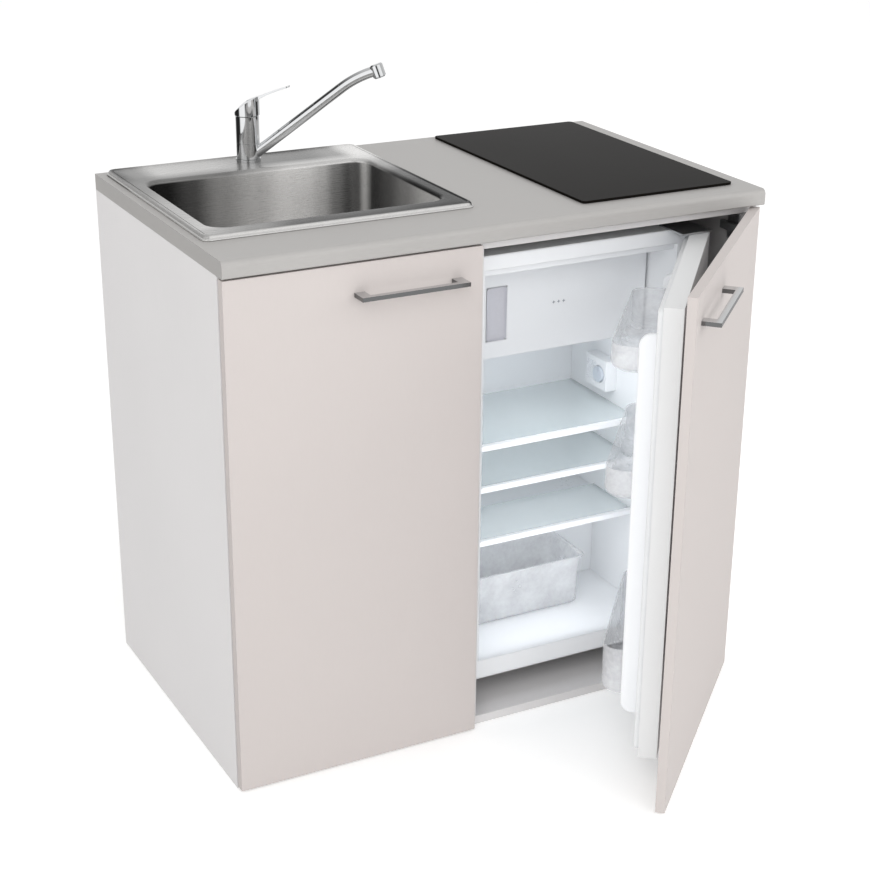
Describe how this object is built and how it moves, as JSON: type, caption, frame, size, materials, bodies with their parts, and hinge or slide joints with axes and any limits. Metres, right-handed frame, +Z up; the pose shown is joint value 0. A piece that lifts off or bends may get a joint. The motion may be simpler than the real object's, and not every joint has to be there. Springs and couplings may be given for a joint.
{
  "type": "kitchenette unit",
  "caption": "Kitchenette cabinet with a stainless sink and lever tap, a black glass hob, a cupboard door and a built-in refrigerator behind a second front that stands open",
  "frame": {"origin": "middle of the carcass footprint, on the floor under the bottom board", "axes": "X to the right seen from the front, Y from the front to the wall behind, Z up"},
  "size_m": [1, 0.9748, 1.1219],
  "materials": {
    "carcass_board": "melamine-faced board, faint grain",
    "front_board": "melamine-faced board, smooth warm white",
    "hardboard": "painted hardboard",
    "worktop_laminate": "high-pressure laminate, fine light grey",
    "beech": "fluted beech",
    "stainless": "brushed, polished rim",
    "chrome": "polished",
    "aerator_steel": "fine mesh",
    "zinc_steel": "zinc-plated",
    "hinge_grey": "dark grey nickel",
    "brass": "plain",
    "pipe_plastic": "moulded",
    "ceramic_grey": "fibre ceramic and acetal",
    "hob_glass": "black glass ceramic, glossy",
    "seal_rubber": "foam seal",
    "board_green": "circuit board",
    "dark_plastic": "moulded",
    "fridge_enamel": "white powder coat",
    "door_panel": "white coat over a foam-filled panel",
    "foam": "rigid foam",
    "fridge_plastic": "white, satin",
    "shelf_glass": "clear toughened glass",
    "clear_plastic": "clear moulded",
    "dial_plastic": "pale blue-grey",
    "black_enamel": "black enamel"
  },
  "bodies": {
    "carcass": {"left_side": "carcass_board", "right_side": "carcass_board", "partition": "carcass_board", "bottom_board": "carcass_board", "front_rails": "carcass_board", "back_rails": "carcass_board", "back_panel": "hardboard", "dowels": "beech", "worktop": "worktop_laminate", "sink_bowl": "stainless", "sink_clips": "stainless", "waste_flange": "chrome", "tail_pipe": "pipe_plastic", "bottle_trap": "pipe_plastic", "outlet_pipe": "pipe_plastic", "tap_base": "chrome", "tap_body": "chrome", "tap_cartridge": "ceramic_grey", "tap_nut": "brass", "hob_glass": "hob_glass", "hob_seal": "seal_rubber", "hob_case": "zinc_steel", "hob_heaters": "ceramic_grey", "hob_board": "board_green", "hob_clips": "zinc_steel", "hinge_plates": "zinc_steel", "hinge_arms": "hinge_grey", "fridge_case": "fridge_enamel", "fridge_foam": "foam", "fridge_liner": "fridge_plastic", "freezer_box": "fridge_plastic", "glass_shelves": "shelf_glass", "shelf_trims": "fridge_plastic", "control_box": "fridge_plastic", "compressor": "black_enamel", "condenser": "black_enamel", "fridge_feet": "dark_plastic", "fridge_hinges": "zinc_steel"},
    "sink_plug": {"sink_plug": "chrome"},
    "tap_spout": {"tap_spout": "chrome", "tap_aerator": "aerator_steel"},
    "tap_hub": {"tap_hub": "ceramic_grey"},
    "tap_lever": {"tap_lever": "chrome"},
    "left_door": {"left_door": "front_board", "left_handle": "chrome", "left_handle_screws": "zinc_steel", "left_hinge_cups": "chrome"},
    "fridge_front": {"fridge_front": "front_board", "right_handle": "chrome", "right_handle_screws": "zinc_steel", "right_hinge_cups": "chrome", "drag_rail": "pipe_plastic"},
    "drag_slider": {"drag_slider": "dark_plastic"},
    "fridge_door": {"fridge_door": "door_panel", "door_lining": "fridge_plastic", "door_racks": "clear_plastic", "drag_bracket": "zinc_steel"},
    "freezer_flap": {"freezer_flap": "fridge_plastic"},
    "salad_drawer": {"salad_drawer": "clear_plastic"},
    "thermostat_dial": {"thermostat_dial": "dial_plastic"}
  },
  "joints": [
    {"name": "left_door_hinge", "type": "hinge", "parent": "carcass", "child": "left_door", "pos_m": [-0.4968, -0.3, 0.45], "axis": [0, 0, -1], "range_deg": [0, 95]},
    {"name": "front_hinge", "type": "hinge", "parent": "carcass", "child": "fridge_front", "pos_m": [0.4968, -0.3, 0.45], "axis": [0, 0, 1], "range_deg": [-43.8, 21]},
    {"name": "fridge_door_hinge", "type": "hinge", "parent": "carcass", "child": "fridge_door", "pos_m": [0.403, -0.266, 0.459], "axis": [0, 0, 1], "range_deg": [-49.9, 24]},
    {"name": "drag_slide", "type": "slide", "parent": "fridge_front", "child": "drag_slider", "axis": [0.7218, 0.6921, 0], "range_m": [-0.0531, 0.0259]},
    {"name": "freezer_flap_hinge", "type": "hinge", "parent": "carcass", "child": "freezer_flap", "pos_m": [0.36, -0.14, 0.716], "axis": [0, 0, 1], "range_deg": [0, 44]},
    {"name": "salad_drawer_slide", "type": "slide", "parent": "carcass", "child": "salad_drawer", "axis": [0, -1, 0], "range_m": [0, 0.11]},
    {"name": "thermostat_turn", "type": "hinge", "parent": "carcass", "child": "thermostat_dial", "pos_m": [0.347, -0.0376, 0.529], "axis": [1, 0, 0], "range_deg": [0, 280]},
    {"name": "spout_swivel", "type": "hinge", "parent": "carcass", "child": "tap_spout", "pos_m": [-0.234, 0.244, 0.955], "axis": [0, 0, 1], "range_deg": [-135, 40]},
    {"name": "lever_turn", "type": "hinge", "parent": "carcass", "child": "tap_hub", "pos_m": [-0.234, 0.244, 1.02], "axis": [0, 0, 1], "range_deg": [-50, 50]},
    {"name": "lever_lift", "type": "hinge", "parent": "tap_hub", "child": "tap_lever", "pos_m": [-0.24779, 0.25557, 1.0205], "axis": [-0.6428, -0.766, 0], "range_deg": [0, 18]},
    {"name": "sink_plug_lift", "type": "slide", "parent": "carcass", "child": "sink_plug", "axis": [0, 0, 1], "range_m": [0, 0.018]}
  ],
  "couplings": [
    {"joint": "fridge_door_hinge", "follows": "front_hinge", "ratio": 1.137},
    {"joint": "drag_slide", "follows": "front_hinge", "m_per_rad": 0.06933}
  ]
}
